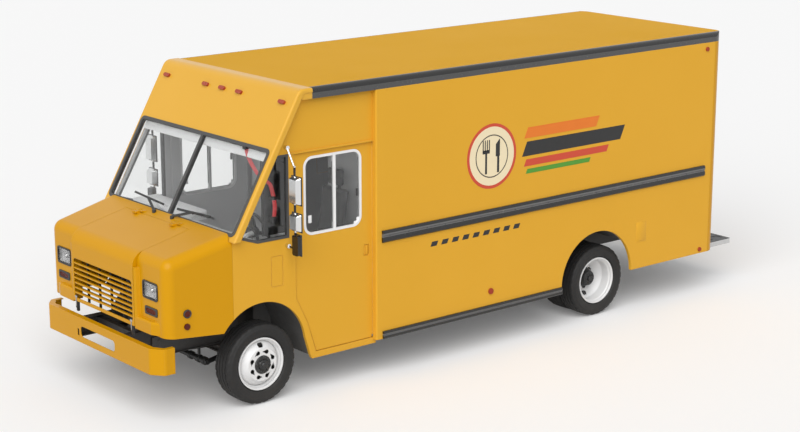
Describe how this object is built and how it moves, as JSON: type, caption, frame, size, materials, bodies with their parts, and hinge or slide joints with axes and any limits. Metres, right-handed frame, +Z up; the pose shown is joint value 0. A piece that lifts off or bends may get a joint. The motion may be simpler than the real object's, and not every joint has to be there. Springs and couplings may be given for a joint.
{
  "type": "food truck",
  "caption": "Walk-in food truck with a sloped cab, rounded nose with an open grille, sliding cab doors, a top-hung serving hatch, rear doors and twin rear wheels.",
  "frame": {"origin": "on the ground at the middle of the overall length and width", "axes": "+X forward, +Y to the vehicle's left, +Z up"},
  "size_m": [8.435, 2.82, 3.19],
  "materials": {
    "paint": "semi-gloss golden orange paint",
    "black_rail": "black moulded rail",
    "rubber": "dark rubber seal",
    "tyre": "tyre rubber",
    "wheel": "white enamel",
    "glass": "clear glass",
    "lamp": "red lamp lens",
    "chassis": "black chassis paint",
    "cast": "cast iron",
    "steel": "steel",
    "alu": "bright aluminium",
    "chrome": "chrome",
    "trim": "dark grey trim",
    "fabric": "dark woven fabric",
    "clear": "clear lens",
    "panel": "plain sheet lining"
  },
  "bodies": {
    "body": {"front_axle": "cast", "rear_axle": "cast", "leaf_springs": "chassis", "chassis_frame": "chassis", "engine_block": "cast", "fuel_tank": "chassis", "exhaust": "steel", "front_bumper": "paint", "nose_panels": "paint", "headlamp_housings": "trim", "headlamp_lenses": "clear", "marker_lamps": "lamp", "front_cap": "paint", "window_seals": "rubber", "cab_glass": "glass", "cab_side_left": "paint", "cab_side_right": "paint", "door_tracks": "steel", "floor_pan": "trim", "wheel_liners": "trim", "mirrors": "chrome", "wipers": "trim", "dashboard": "trim", "steering_wheel": "trim", "driver_seat": "fabric", "side_wall_left": "paint", "side_wall_right": "paint", "rear_frame": "paint", "roof": "paint", "roof_rails": "black_rail", "rub_rails": "black_rail", "bulkhead": "panel", "rear_step": "steel"},
    "front_wheel_left": {"tyre_front_left": "tyre", "wheel_front_left": "wheel"},
    "front_wheel_right": {"tyre_front_right": "tyre", "wheel_front_right": "wheel"},
    "rear_wheels_left": {"tyres_rear_left": "tyre", "wheels_rear_left": "wheel"},
    "rear_wheels_right": {"tyres_rear_right": "tyre", "wheels_rear_right": "wheel"},
    "steer_knuckle_left": {"knuckle_left": "cast"},
    "steer_knuckle_right": {"knuckle_right": "cast"},
    "hood": {"hood_lid": "paint", "grille": "paint"},
    "driver_door": {"driver_door": "paint", "driver_door_frame": "alu", "driver_door_glass": "glass"},
    "passenger_door": {"passenger_door": "paint", "passenger_door_frame": "alu", "passenger_door_glass": "glass"},
    "hatch": {"serving_hatch": "paint"},
    "rear_door_left": {"rear_door_left": "paint"},
    "rear_door_right": {"rear_door_right": "paint"}
  },
  "joints": [
    {"name": "steer_left", "type": "hinge", "parent": "body", "child": "steer_knuckle_left", "pos_m": [2.9925, 0.86, 0.42], "axis": [0, 0, 1], "range_deg": [-35, 35]},
    {"name": "steer_right", "type": "hinge", "parent": "body", "child": "steer_knuckle_right", "pos_m": [2.9925, -0.86, 0.42], "axis": [0, 0, 1], "range_deg": [-35, 35]},
    {"name": "wheel_front_left_spin", "type": "hinge", "parent": "steer_knuckle_left", "child": "front_wheel_left", "pos_m": [2.9925, 1.012, 0.42], "axis": [0, 1, 0], "continuous": true},
    {"name": "wheel_front_right_spin", "type": "hinge", "parent": "steer_knuckle_right", "child": "front_wheel_right", "pos_m": [2.9925, -1.012, 0.42], "axis": [0, 1, 0], "continuous": true},
    {"name": "wheels_rear_left_spin", "type": "hinge", "parent": "body", "child": "rear_wheels_left", "pos_m": [-1.8125, 0.861, 0.42], "axis": [0, 1, 0], "continuous": true},
    {"name": "wheels_rear_right_spin", "type": "hinge", "parent": "body", "child": "rear_wheels_right", "pos_m": [-1.8125, -0.861, 0.42], "axis": [0, 1, 0], "continuous": true},
    {"name": "hood_lift", "type": "hinge", "parent": "body", "child": "hood", "pos_m": [3.4695, 0, 1.81237], "axis": [0, -1, 0], "range_deg": [0, 60]},
    {"name": "driver_door_slide", "type": "slide", "parent": "body", "child": "driver_door", "axis": [-1, 0, 0], "range_m": [0, 0.85]},
    {"name": "passenger_door_slide", "type": "slide", "parent": "body", "child": "passenger_door", "axis": [-1, 0, 0], "range_m": [0, 0.85]},
    {"name": "hatch_lift", "type": "hinge", "parent": "body", "child": "hatch", "pos_m": [-0.5575, -1.237, 2.622], "axis": [-1, 0, 0], "range_deg": [0, 90]},
    {"name": "rear_door_left_swing", "type": "hinge", "parent": "body", "child": "rear_door_left", "pos_m": [-3.7995, 1.002, 1.82], "axis": [0, 0, -1], "range_deg": [0, 180]},
    {"name": "rear_door_right_swing", "type": "hinge", "parent": "body", "child": "rear_door_right", "pos_m": [-3.7995, -1.002, 1.82], "axis": [0, 0, 1], "range_deg": [0, 180]}
  ],
  "couplings": [
    {"joint": "steer_right", "follows": "steer_left", "ratio": 1}
  ]
}
